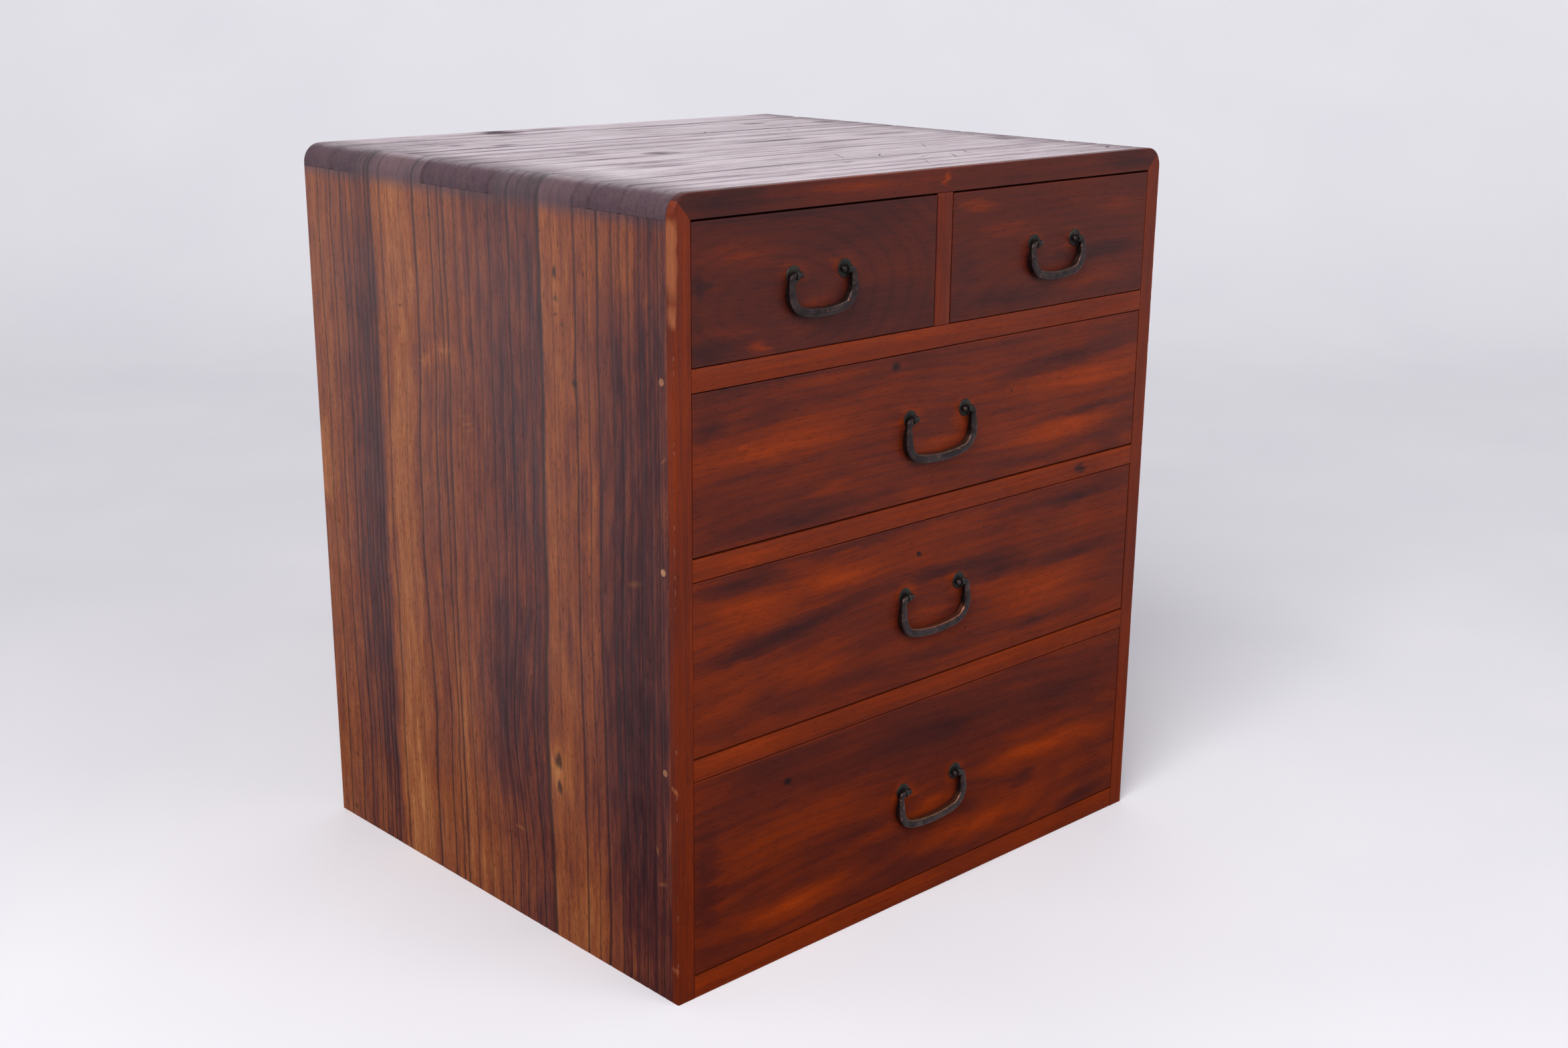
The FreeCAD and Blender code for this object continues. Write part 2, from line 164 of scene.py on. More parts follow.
def buildWood(name, along, across, look, extra=None):
    # a sawn board: broad bands, soft clouds, long streaks, fibre and open pores
    look = {**woodBuild, **look}
    material, tree, shader, place = startMaterial(name, **look["shader"])
    add = partial(addNode, tree)
    grain = grainSpace(tree, place, along, across)
    if look.get("followsMesh"):
        split = add("SeparateXYZ", [grain]).node.outputs
        laid = add("Attribute", out="Fac", attribute_name="grain")
        bent = add("CombineXYZ", {"X": split["X"], "Y": laid, "Z": split["Z"]})
    else:
        shift = addLayer(tree, grain, look, "wander")
        shift = add("Math", (shift, look["wander"], -look["wander"] / 2), "MULTIPLY_ADD")
        shift = add("CombineXYZ", {"Y": shift})
        bent = add("VectorMath", (grain, shift), "ADD")
    parts = SimpleNamespace(look=look, material=material, tree=tree, shader=shader, place=place,
                            grain=grain, bent=bent, waxed=None)

    # tone runs from 0, dark heart streaks, to 1, pale wood
    tone = look["tone"] - sum(look[layer] for layer in look["toneLayers"]) / 2
    for layer in look["toneLayers"]:
        noise = addLayer(tree, bent, look, layer)
        setattr(parts, layer, noise)
        tone = add("Math", (noise, look[layer], tone), "MULTIPLY_ADD")
    fuzz = addLayer(tree, grain, look, "fuzz").node.outputs["Color"]
    fuzz = add("VectorMath", (fuzz, (0.5, 0.5, 0.5)), "SUBTRACT")
    fuzzy = add("VectorMath", (fuzz, look["fuzz"], bent), "MULTIPLY_ADD")
    tone = addPatches(tree, fuzzy, look.get("patches", []), tone)
    if "ring" in look:
        ring = addLayer(tree, bent, look, "ring")
        ring = add("MapRange", between(ring, look["ringReads"], (0.0, -look["ring"])))
        tone = add("Math", (ring, tone), "ADD")
    ragged = add("VectorMath", (fuzz, look["raggedness"], place), "MULTIPLY_ADD")
    parts.fuzz, parts.ragged = fuzz, ragged
    if "wax" in look:
        # hands wax the upper part, below it wears dull
        height = add("SeparateXYZ", [place], out="Z")
        parts.waxed = add("MapRange", between(height, look["waxedHeights"], look["wax"]))
    if extra:
        tone = extra(parts, tone)
    colour = setStops(add("ValToRGB", [tone]), look["colours"])

    # pores: fine dark dashes, drawn twice as wide so that they show
    pore = addLayer(tree, grain, look, "pore")
    pore = add("MapRange", between(pore, look["poreReads"], (0.0, look["pore"])))
    parts.tone, parts.pore = tone, pore
    parts.colour = addStain(tree, colour, pore, look["poreColour"])
    return parts


def finishWood(parts, colour=None, height=None):
    tree, shader, look = parts.tree, parts.shader, parts.look
    add = partial(addNode, tree)
    tree.links.new(colour or parts.colour, shader.inputs["Base Color"])
    smudge = addLayer(tree, parts.place, look, "smudge")
    rough = add("MapRange", between(smudge, look["smudgeReads"], look["rough"]))
    rough = add("Math", (parts.pore, look["poreRoughness"], rough), "MULTIPLY_ADD")
    tree.links.new(rough, shader.inputs["Roughness"])
    fall = add("Math", (parts.fibre, look["fibreHeight"]), "MULTIPLY")
    fall = add("Math", (fall, parts.pore), "SUBTRACT")
    if height:
        fall = add("Math", (fall, height), "ADD")
    normal = add("Bump", {"Height": fall, "Distance": look["relief"] * mm})
    tree.links.new(normal, shader.inputs["Normal"])
    if parts.waxed:
        # the export keeps only the plain value, so the socket holds the mean
        shader.inputs["Specular IOR Level"].default_value = sum(look["wax"]) / 2
        tree.links.new(parts.waxed, shader.inputs["Specular IOR Level"])
    return parts.material


# Drawer fronts: lacquered hardwood, flat-sawn, dark streaks through an orange ground
frontLook = {
    "shader": {"IOR": 1.5}, "wax": (0.02, 0.14),
    "wander": 16.0, "streakSize": (190, 11, 14), "cloudSize": (80, 28, 40), "streak": 0.36, "cloud": 0.4,
    "fuzz": (30, 9, 9), "fibre": 0.24, "fibreSize": (26, 0.8, 0.8), "rough": (0.34, 0.5), "relief": 0.05,
    "poreSize": (6.0, 0.6, 0.6), "pore": 0.32, "poreColour": "#1c0e0d",
    "colours": [(0, "#281113"), (0.22, "#3f1a17"), (0.42, "#592216"), (0.6, "#792d10"), (0.8, "#97390f"),
                (1, "#b5501c")],
}
# soft patches of each front in x and z, lighter or darker
frontFigures = {
    "top_left": [
        (-48, 433, 62, 13, 12, -0.1), (-158, 421, 34, 11, 0, 0.2), (-170, 381, 30, 5, 2, 0.2),
        (-146, 371.5, 12, 5.5, -8, 0.3), (-115, 378, 16, 5, 0, 0.12), (-188, 406, 8, 8, 0, -0.3),
        (-120, 440, 110, 4, 0, -0.15), (-180, 372, 26, 8, 0, -0.15), (-60, 385, 60, 14, 4, -0.1)],
    "top_right": [
        (30, 433, 26, 4, -2, 0.22), (65, 419, 42, 9, 2, 0.12), (144, 395, 62, 7, 2, -0.3),
        (60, 375, 60, 9, 0, -0.2), (20, 396, 20, 22, 0, -0.12), (160, 425, 40, 9, 0, 0.1),
        (140, 380, 50, 7, 2, 0.12)],
    "second": [
        (-130, 315, 90, 13, 2, 0.26), (-88, 283, 26, 6, 0, 0.2), (-120, 270, 90, 7, 1, -0.2),
        (-181, 331, 16, 12, 0, -0.25), (-90, 338, 70, 8, 3, -0.12), (120, 332, 84, 7, 3, -0.3),
        (127, 317, 90, 11, 1, 0.22), (144, 294.5, 60, 3.5, 0, -0.2), (118, 286, 90, 7, 0, 0.2),
        (0, 345, 90, 8, 0, -0.1), (-120, 351, 110, 4, 0, -0.3), (110, 270, 70, 6, 1, -0.12),
        (-153, 318, 5, 8, 0, 0.12)],
    "third": [
        (-122, 205, 92, 8, 5, -0.34), (-160, 199, 40, 5, 3, -0.16), (20, 211, 70, 7, 1, -0.34),
        (60, 204, 40, 8, 0, -0.34), (137, 199, 62, 5.5, -1, -0.26), (-157, 241, 44, 8, 3, -0.3),
        (117, 239, 82, 6, 0, -0.28), (140, 237, 14, 4, 0, -0.2), (-145, 223, 40, 10, 2, 0.18),
        (-82, 229, 42, 12, -5, 0.26), (104, 180, 80, 15, 2, 0.22), (-120, 180, 80, 12, 4, 0.16),
        (97, 161.5, 30, 2.6, 4, -0.25), (-60, 160, 90, 7, 0, -0.1), (10, 190, 30, 8, 0, -0.12),
        (-20, 248, 240, 4, 0, -0.25)],
    "bottom": [
        (5, 116, 80, 22, 0, -0.14), (0, 108, 240, 40, 0, -0.12), (118, 68, 90, 9, 1, 0.22),
        (55, 35, 90, 12, 2, 0.22), (93, 52, 16, 6, 0, -0.25), (160, 21, 40, 7, 0, -0.25),
        (-113, 31, 48, 10, 2, 0.25), (-184, 70, 14, 46, 0, -0.2), (-90, 86, 90, 16, 3, 0.08),
        (120, 100, 80, 16, 1, -0.12), (-60, 58, 70, 7, 4, -0.12), (-120, 125, 70, 9, 0, -0.1)],
}
# growth rings of each front: (x, z, space along and across, depth of colour)
frontArches = {
    "top_left": (-138, 393, 15, 7.5, 0.09), "top_right": (150, 372, 26, 6, 0.08),
    "second": (-40, 262, 60, 6.5, 0.1), "third": (60, 165, 60, 6, 0.08), "bottom": (-110, 40, 44, 8, 0.08),
}
frontTones = {"top_left": 0.325, "top_right": 0.38, "second": 0.49, "third": 0.52, "bottom": 0.49}
# small dark knots in x and z
frontKnots = {
    "top_left": [], "top_right": [(9, 434, 3, 2, 0, 0.5)],
    "second": [(-38, 346, 7, 5.4, 0, 0.8), (66, 317, 2, 1.6, 0, 0.8), (-170, 352, 7, 1.6, 0, 0.8)],
    "third": [
        (-14, 228.5, 4, 2.6, -25, 1), (44.7, 234, 1.6, 1.2, 0, 0.8), (30.7, 171.5, 1.8, 1.4, 0, 0.9),
        (-62, 229, 3, 1.4, 20, 0.5), (-52, 225, 2.4, 1.2, -20, 0.5), (-46, 231, 2, 1.2, 0, 0.4)],
    "bottom": [(-121, 113, 6.5, 4, -3, 0.9)],
}

# painted glow: paler orange patches round the plates and inside each bail, where the bail keeps the grey
# reflection off the lacquer: a patch's sizes, tilt and strength
paintedGlow = {"plate": (12, 11, 0, 0.22), "drop": 16, "dropHeight": 6, "dropStrength": 0.2, "inset": 6}
frontSeeds = {"first": 5.0, "step": 9.3}
# the two small fronts come from a plainer board
plainerFront = {"streak": 0.22, "cloud": 0.26}
ringWave = {"Scale": 0.32, "Distortion": 3.2, "Detail": 2.0, "Detail Scale": 0.4}
ringReads, frontKnotReads = (0.55, 1.0), (0.15, 0.75)


def makeFront(drawer, index):
    # beech-like hardwood under a wiped reddish lacquer: satin and deep
    low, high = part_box(drawer + "_pull_mounts")
    middle, height = (low.x + high.x) / 2 / mm, (low.z + high.z) / 2 / mm
    reach = (high.x - low.x) / 2 / mm - paintedGlow["inset"]
    # a painted glow round each plate and across the drop inside the bail
    paintedGlows = [(x, height) + paintedGlow["plate"] for x in (middle - reach, middle + reach)]
    paintedGlows.append((middle, height - paintedGlow["drop"], reach, paintedGlow["dropHeight"], 0,
                  paintedGlow["dropStrength"]))
    look = dict(frontLook, seed=frontSeeds["first"] + frontSeeds["step"] * index, tone=frontTones[drawer],
                patches=frontFigures[drawer] + paintedGlows)
    if drawer.startswith("top"):
        look.update(plainerFront)

    def addArches(parts, tone):
        # the arched growth rings of a flat-sawn board
        tree = parts.tree
        add = partial(addNode, tree)
        along, across, ringLength, ringHeight, depth = frontArches[drawer]
        local = add("Mapping",
                    {"Vector": parts.bent, "Location": (along, across, 0),
                     "Scale": (ringLength, ringHeight, throughBoard)}, vector_type="TEXTURE")
        rings = add("TexWave", {**ringWave, "Vector": local}, out="Fac", wave_type="RINGS",
                    rings_direction="Z")
        rings = add("MapRange", between(rings, ringReads))
        rings = add("Math", (rings, parts.streak), "MULTIPLY")
        return add("Math", (rings, -depth, tone), "MULTIPLY_ADD")

    parts = buildWood("lacquered hardwood " + drawer.replace("_", " "), "X", "Z", look, addArches)
    knots = addPatches(parts.tree, parts.grain, frontKnots[drawer])
    colour = addStain(parts.tree, parts.colour, knots, "#201213", frontKnotReads, **smooth)
    return finishWood(parts, colour)


frontMaterials = {name: makeFront(name, index) for index, name in enumerate(drawerNames)}
print("drawer fronts' materials made:", len(frontMaterials))


# Facing strips: the same lacquered hardwood, cut narrow and worn more orange
stripLook = dict(frontLook, tone=0.58, streak=0.36, cloud=0.3, wander=5.0, streakSize=(120, 3.2, 6),
                 rough=(0.36, 0.52))
railLook = dict(stripLook, seed=61.0, patches=[(137, 255, 6, 3.5, 0, -0.6), (-150, 255, 30, 5, 0, 0.15)])
stileLook = dict(stripLook, seed=77.0, tone=0.52)
# bare wood on the left stile's arris, patches in z and x
stileBare = [
    (418, -206, 30, 7, 0, 1.3), (437, -204, 10, 5, 0, 1), (392, -205.5, 9, 3, 0, 1.2),
    (130, -205, 3, 1.8, 0, 1.1), (21, -205, 3, 1.8, 0, 1.1)]
bareWood = {"chipReads": (0.3, 0.8), "raggedness": (16, 7, 0), "wornReads": (0.1, 0.5), "worn": 0.75}


def makeStripMaterial(name, along, across, look, bare=()):
    # the lacquer is gone where the edge is knocked, and raw pinkish wood shows
    parts = buildWood(name, along, across, look)
    tree = parts.tree
    chip = addNode(tree, "Attribute", out="Fac", attribute_name="chip")
    colour = addStain(tree, parts.colour, chip, "#a8786a", bareWood["chipReads"])
    if bare:
        ragged = (parts.fuzz, bareWood["raggedness"], parts.grain)
        ragged = addNode(tree, "VectorMath", ragged, "MULTIPLY_ADD")
        worn = addPatches(tree, ragged, bare)
        worn = addNode(tree, "Math", (worn, parts.streak), "MULTIPLY")
        colour = addStain(tree, colour, worn, "#a2603e", bareWood["wornReads"], bareWood["worn"], **smooth)
    return finishWood(parts, colour)


railMaterial = makeStripMaterial("lacquered facing rail", "X", "Z", railLook)
topRailLook = dict(railLook, tone=0.345, patches=[
    (0, 456, 400, 1, 0, 0.12), (-175, 450, 40, 12, 0, -0.25), (180, 450, 50, 12, 0, -0.2),
    (-60, 450, 70, 8, 0, 0.1), (0, 450, 4, 6, 0, 0.35)])
topRailMaterial = makeStripMaterial("lacquered facing top rail", "X", "Z", topRailLook)
stileMaterial = makeStripMaterial("lacquered facing stile", "Z", "X", stileLook, stileBare)

# Inside boards: bare planed softwood, pale and dusty
innerLook = {
    "shader": {"IOR": 1.5, "Specular IOR Level": 0.35},
    "seed": 90.0, "wander": 14.0, "streakSize": (220, 5, 9), "cloudSize": (60, 26, 40),
    "streak": 0.36, "cloud": 0.2, "tone": 0.6, "fuzz": (10, 5, 5), "fibre": 0.2, "rough": (0.62, 0.8),
    "relief": 0.08, "poreSize": (7.0, 0.6, 0.6), "pore": 0.3, "poreColour": "#6b4a30",
    "colours": [(0, "#8a6644"), (0.35, "#a98358"), (0.7, "#c4a074"), (1, "#d4b68c")],
}
innerAcrossX = finishWood(buildWood("bare softwood lengthways x", "X", "Z", innerLook))
innerFlatX = finishWood(buildWood("bare softwood flat x", "X", "Y", innerLook))
innerAcrossY = finishWood(buildWood("bare softwood lengthways y", "Y", "Z", innerLook))
innerUpright = finishWood(buildWood("bare softwood upright", "Z", "X", innerLook))

# Pegs: cut end grain, orange brown
pegLook = dict(
    innerLook, seed=130.0, streakSize=(3, 3, 3), tone=0.36, poreColour="#3c241a",
    colours=[(0, "#6d4630"), (0.5, "#9a6a4c"), (1, "#b98a68")],
    patches=[(-150, 254.5, 60, 9, 0, 0.6)])
pegMaterial = finishWood(buildWood("peg end grain", "Y", "Z", pegLook))

# Side boards: stained softwood with strong upright growth lines
sideLook = {
    "shader": {"IOR": 1.5}, "wax": (0.06, 0.55), "followsMesh": True,
    "streakSize": (130, 4.5, 8), "cloudSize": (30, 6, 6), "streak": 0.44, "cloud": 0.66,
    "tone": 0.03, "ring": 0.12, "fuzz": (24, 5, 5), "fibre": 0.32, "fibreSize": (14, 0.8, 0.8),
    "poreSize": (5.0, 0.55, 0.55), "pore": 0.6, "poreColour": "#22130f",
    "rough": (0.40, 0.56), "relief": 0.12,
    "colours": [(0, "#2b1418"), (0.2, "#4c2424"), (0.4, "#6f392a"), (0.6, "#8b4c2d"), (0.8, "#a3633a"),
                (1, "#b97c4c")],
}
# broad bands from the back edge to the front edge: (y, tone)
sideBands = [
    (181, 0.58), (160, 0.56), (146, 0.48), (138, 0.4), (130, 0.3), (106, 0.2), (101, 0.46), (96, 0.66),
    (82, 0.76), (67, 0.62), (60, 0.48), (42, 0.46), (30, 0.46), (12, 0.48), (-2, 0.4), (-20, 0.32),
    (-40, 0.32), (-63, 0.24), (-68, 0.54), (-84, 0.56), (-98, 0.46), (-112, 0.42), (-119, 0.3),
    (-128, 0.24), (-150, 0.2), (-172, 0.24), (-180, 0.4)]
# growth lines: (y, half width, depth of colour)
sideLines = [
    (165, 1.3, 0.72), (150, 1.2, 0.72), (138, 1.4, 0.84), (132, 0.9, 0.6), (126, 1.2, 0.8), (119, 1.2, 0.8),
    (114, 0.8, 0.6), (109.5, 1.2, 0.8), (105, 1.4, 0.84), (93.5, 1.7, 0.6), (72, 1, 0.24), (57, 1.6, 1),
    (40, 1.4, 0.84), (31, 1.4, 0.84), (26, 1.3, 0.96), (15, 1.3, 0.72), (2, 1.2, 0.48), (-8, 1.2, 0.48),
    (-20, 1.3, 0.72), (-29, 1.2, 0.48), (-38, 1.3, 0.72), (-47, 1.3, 0.6), (-56, 1.3, 0.72), (-65.5, 2.6, 1),
    (-78, 0.9, 0.18), (-88, 0.9, 0.18), (-98, 1.4, 0.84), (-109, 1, 0.48), (-118, 1.6, 0.96),
    (-130, 1.3, 0.72), (-137, 1.2, 0.6), (-144, 1.2, 0.6), (-153, 1.3, 0.72), (-161, 1.3, 0.72),
    (-168, 1.2, 0.72)]
# soft patches in z and y, lighter or darker
sidePatches = [
    (305, -34, 90, 22, 0, -0.14), (150, -28, 80, 36, 0, -0.2), (115, 24, 80, 18, 0, 0.26),
    (25, 10, 70, 90, 0, 0.24), (20, -100, 60, 46, 0, 0.28), (20, 118, 50, 18, 0, 0.24),
    (155, -146, 130, 30, 0, -0.16), (425, -138, 60, 44, 0, 0.34), (425, 120, 60, 24, 0, 0.24),
    (40, 128, 90, 10, 0, 0.24), (320, 90, 34, 7, 0, -0.14), (210, 92, 40, 6, 0, -0.16),
    (40, -82, 60, 14, 0, -0.14), (300, -88, 30, 8, 0, -0.12), (200, -86, 40, 9, 0, -0.14),
    (400, 50, 60, 30, 0, 0.1), (12, -146, 22, 30, 0, 0.15), (240, -110, 120, 8, 0, 0.14),
    (345, 31, 10, 14, 0, 0.25), (335, 52, 5, 8, 0, 0.2), (253, 172, 34, 12, 0, 0.3),
    (40, 80, 60, 22, 0, 0.1), (390, 80, 70, 22, 0, -0.08), (110, -73, 26, 18, 0, 0.3),
    (400, -82, 30, 12, 0, 0.1)]
# knots in z and y
sideKnots = [
    (405, -80.7, 6, 2.4, 0, 1), (390.6, -81.3, 2.2, 6, 0, 0.7), (382.5, -81, 2.2, 5, 0, 0.7),
    (377, -86.5, 2.6, 2.6, 0, 0.8), (346, -96.3, 5, 4.4, 0, 0.9), (116, -73, 8, 5.4, 0, 1.1),
    (98.5, -73, 7, 4.6, 0, 1), (367, 75.6, 1.6, 3.2, 20, 0.7), (430, -17.5, 2, 3, 0, 0.8),
    (425, 40.3, 2.4, 2, 0, 0.8), (8, 162, 4, 3, 0, 0.7), (265, -82, 1.4, 26, 0, 0.35)]

# light scuffs and chips in z and y
sideScuffs = [
    (305, 8, 1.2, 9, 14, 0.5), (301, 7, 1, 8, 18, 0.45), (309, 12, 1, 7, 10, 0.4),
    (346, 30, 2, 12, 4, 0.4), (59, -32, 1.4, 6, 0, 0.9), (90.5, -163, 3.5, 1.4, 10, 0.8),
    (71, -167, 1.6, 5, 20, 0.6), (317, -171.5, 4, 0.9, -50, 0.6), (243, -146, 2.5, 8, 15, 0.4),
    (336, 54, 1.2, 9, 4, 0.35), (267, 178, 12, 6, 0, 1.1), (232, 176, 14, 7, 30, 1.1),
    (240, 168, 2, 12, 20, 0.35), (86, 152, 1.4, 2, 0, 0.7)]

# the board ends' rounding and the pale sheen painted on what lies level: heights and places in mm, what each
# value reads and gives
rounding = {
    "handledHeights": (434, 445), "handled": 0.96, "levelReads": (0.82, 0.995),
    "bloomPlaces": (202, 158), "bloomShares": (0.15, 1),
    "shineReads": (0.22, 0.52), "shines": (0.02, 1.05),
    "dark": [(0.05, "#2b1d22"), (0.4, "#49343c"), (0.9, "#60474d")],
    "bloom": [(0.15, "#4a3d43"), (0.32, "#85747a"), (0.48, "#b5a5ab"), (0.75, "#d3c4ca")],
}


def addRounding(parts, colour):
    # hands have darkened the rounding above the sides, and a pale sheen is painted on what lies level
    tree, r = parts.tree, rounding
    add = partial(addNode, tree)
    height = add("SeparateXYZ", [parts.place], out="Z")
    dark = setStops(add("ValToRGB", [parts.tone]), r["dark"])
    colour = addStain(tree, colour, height, dark, r["handledHeights"], r["handled"], **smooth)
    facing = add("TexCoord", out="Normal")
    level = add("SeparateXYZ", [facing], out="Z")
    level = add("MapRange", between(level, r["levelReads"]), **smooth)
    # the painted sheen only comes in some way from the ends
    reach = add("SeparateXYZ", [parts.ragged], out="X")
    reach = add("Math", [reach], "ABSOLUTE")
    reach = add("MapRange", between(reach, r["bloomPlaces"], r["bloomShares"]), **smooth)
    level = add("Math", (level, reach), "MULTIPLY")
    # painted sheen: a pale colour laid on level faces stands in for the grazing reflection off the waxed top
    bloom = setStops(add("ValToRGB", [parts.tone]), r["bloom"])
    # a waxed level surface shines, its open grain doesn't
    shine = add("MapRange", between(parts.tone, r["shineReads"], r["shines"]))
    parts.waxed = add("Mix", {0: level, 2: parts.waxed, 3: shine})
    return addStain(tree, colour, level, bloom)


# growth lines break up with the streaks; wax kept from front to back
sideWear = {"lineSpread": 0.7, "lineBreaks": ((0.3, 0.6), (0.75, 1.0)), "waxKept": ((-150, -60), (0.5, 1.0)),
            "lineFall": -1.5, "knotFuzz": (10, 6, 0), "knotReads": (0.1, 0.8), "knotDepth": 0.85}


def makeSide(name, seed):
    # softwood, stained dark and waxed: soft sheen, brown veined with blue-black late wood
    def addBands(parts, tone):
        bands = addNode(parts.tree, "Attribute", out="Fac", attribute_name="tone")
        return addNode(parts.tree, "Math", (tone, bands), "ADD")

    parts = buildWood(name, "Z", "Y", dict(sideLook, seed=seed, patches=sidePatches), addBands)
    tree, wear = parts.tree, sideWear
    add = partial(addNode, tree)
    lines = add("Attribute", out="Fac", attribute_name="line")
    lines = add("Math", (lines, wear["lineSpread"]), "POWER")
    broken = add("MapRange", between(parts.streak, *wear["lineBreaks"]))
    lines = add("Math", (lines, broken), "MULTIPLY")
    # passing hands keep the wax thin towards the front
    across = add("SeparateXYZ", [parts.place], out="Y")
    kept = add("MapRange", between(across, *wear["waxKept"]))
    parts.waxed = add("Math", (parts.waxed, kept), "MULTIPLY")
    colour = addRounding(parts, parts.colour)
    colour = addStain(tree, colour, lines, "#26171a")
    ragged = add("VectorMath", (parts.fuzz, wear["knotFuzz"], parts.grain), "MULTIPLY_ADD")
    knots = addPatches(tree, ragged, sideKnots)
    colour = addStain(tree, colour, knots, "#1f1314", wear["knotReads"], wear["knotDepth"], **smooth)
    scuffs = addPatches(tree, parts.grain, sideScuffs)
    scuffs = add("Math", (scuffs, parts.streak), "MULTIPLY")
    colour = addStain(tree, colour, scuffs, "#b5764a")
    drop = add("Math", (lines, wear["lineFall"]), "MULTIPLY")
    return finishWood(parts, colour, drop)


leftSideMaterial = makeSide("stained softwood left side", 150.0)
rightSideMaterial = makeSide("stained softwood right side", 190.0)

# Top board: the same softwood, weathered by use, its soft wood worn below the growth lines
topLook = dict(
    sideLook, seed=210.0, tone=0.52, streak=0.56, streakSize=(120, 2.6, 6), cloud=0.5, cloudSize=(60, 9, 9),
    wax=(0.3, 0.3), ring=0.2, rough=(0.42, 0.6), relief=0.2,
    colours=[(0, "#241a1c"), (0.3, "#3a2a2d"), (0.6, "#523b3d"), (1, "#6d5048")],
    patches=[
        (-72, -10, 16, 12, 0, -0.35), (-105, 18, 14, 14, 40, -0.2), (32, 8, 44, 8, 0, -0.2),
        (-124, -69, 44, 10, 0, -0.2), (-65, 168, 18, 30, 0, -0.35), (175, -76, 14, 12, 0, -0.25),
        (123, 119, 14, 6, 0, -0.35), (178, 98, 14, 12, 0, -0.25), (-115, 90, 16, 8, 0, -0.25),
        (-140, 105, 10, 8, 30, -0.25), (-120, -50, 60, 8, 0, -0.12), (130, 0, 50, 6, 0, -0.2),
        (-95, 118, 30, 6, 10, -0.15), (-160, 125, 60, 50, 0, -0.12), (-60, 168, 60, 14, 0, -0.15),
        (-20, 168, 16, 14, 0, -0.15), (60, 10, 30, 8, 0, -0.15)])
topLines = [
    (147, 4.6, 1), (80, 3, 0.9), (63, 1.8, 0.7), (45, 3.4, 1), (25, 1.6, 0.6), (-20, 2.4, 0.8),
    (-55, 1.6, 0.6), (-93, 1.8, 0.6), (-112, 3.4, 1), (-138, 2, 0.7), (165, 1, 0.4), (125, 0.8, 0.3),
    (108, 0.8, 0.3), (5, 0.9, 0.4), (-38, 0.8, 0.3), (-75, 1, 0.4), (-126, 0.8, 0.3), (-152, 1, 0.4),
    (-166, 0.9, 0.4)]

# thin dark scratches and cracks in x and y
topScratches = [
    (4, -88, 12, 0.7, 60, 1.4), (-4, -100, 7, 0.7, 60, 1.2), (26, -102, 8, 0.9, 40, 1.4),
    (42, -124, 14, 0.7, 20, 1.2), (60, -132, 16, 0.8, 55, 1.3), (84, -120, 14, 0.8, 60, 1.4),
    (92, -78, 18, 0.7, 50, 1), (20, -146, 22, 0.6, 50, 0.9), (-96, -152, 12, 1, 10, 0.9),
    (120, -140, 7, 1.4, 25, 1.2), (106, 62, 14, 0.8, 55, 1.1), (48, 84, 8, 1, 50, 1.1),
    (178, -158, 8, 2, 30, 1.4), (72, -100, 7, 0.8, 80, 1.2), (50, -108, 6, 0.8, -40, 1.2),
    (-20, -121, 8, 1.6, 5, 1.6)]

# growth lines break up with the streaks and are rubbed out near the board's ends
topWear = {"lineBreaks": ((0.35, 0.6), (1.0, 0.6)), "rubbed": ((185, 198), (1.0, 0.35)), "lineFall": -2.0}


def makeTop():
    # weathered softwood: brown where hands rub it, a pale painted sheen on what lies level
    parts = buildWood("weathered softwood top", "X", "Y", topLook)
    tree, wear = parts.tree, topWear
    add = partial(addNode, tree)
    colour = addRounding(parts, parts.colour)
    lines = add("Attribute", out="Fac", attribute_name="line")
    broken = add("MapRange", between(parts.streak, *wear["lineBreaks"]))
    outwards = add("SeparateXYZ", [parts.place], out="X")
    outwards = add("Math", [outwards], "ABSOLUTE")
    rubbed = add("MapRange", between(outwards, *wear["rubbed"]))
    for share in (broken, rubbed):
        lines = add("Math", (lines, share), "MULTIPLY")
    scratches = addPatches(tree, parts.grain, topScratches)
    for mark, paint in ((lines, "#231a1e"), (scratches, "#332429")):
        colour = addStain(tree, colour, mark, paint)
        parts.waxed = add("Mix", {0: mark, 2: parts.waxed, 3: 0.0})
    drop = add("Math", (lines, wear["lineFall"]), "MULTIPLY")
    return finishWood(parts, colour, drop)


topMaterial = makeTop()


# how brown each bail's upper faces are, and their colour
bailBrowns = {"top_left": (0.35, "#4a352c"), "top_right": (0.5, "#6b4a3e"), "second": (0.7, "#63483a"),
              "third": (1, "#7a4a38"), "bottom": (0.85, "#6e4c38")}

# noise scales per mm, the rust's places in mm below a bail's neck, the pits' depth in mm
ironLook = {"stainScale": 0.16, "fleckScale": 0.55, "fleckLift": 0.9, "levelReads": (0.55, 1.2),
            "neck": (-8, -3), "spotReads": (0.64, 0.72), "spots": 0.7, "dullReads": (0.3, 0.7),
            "pitScale": 0.9, "pitDepth": 0.12}


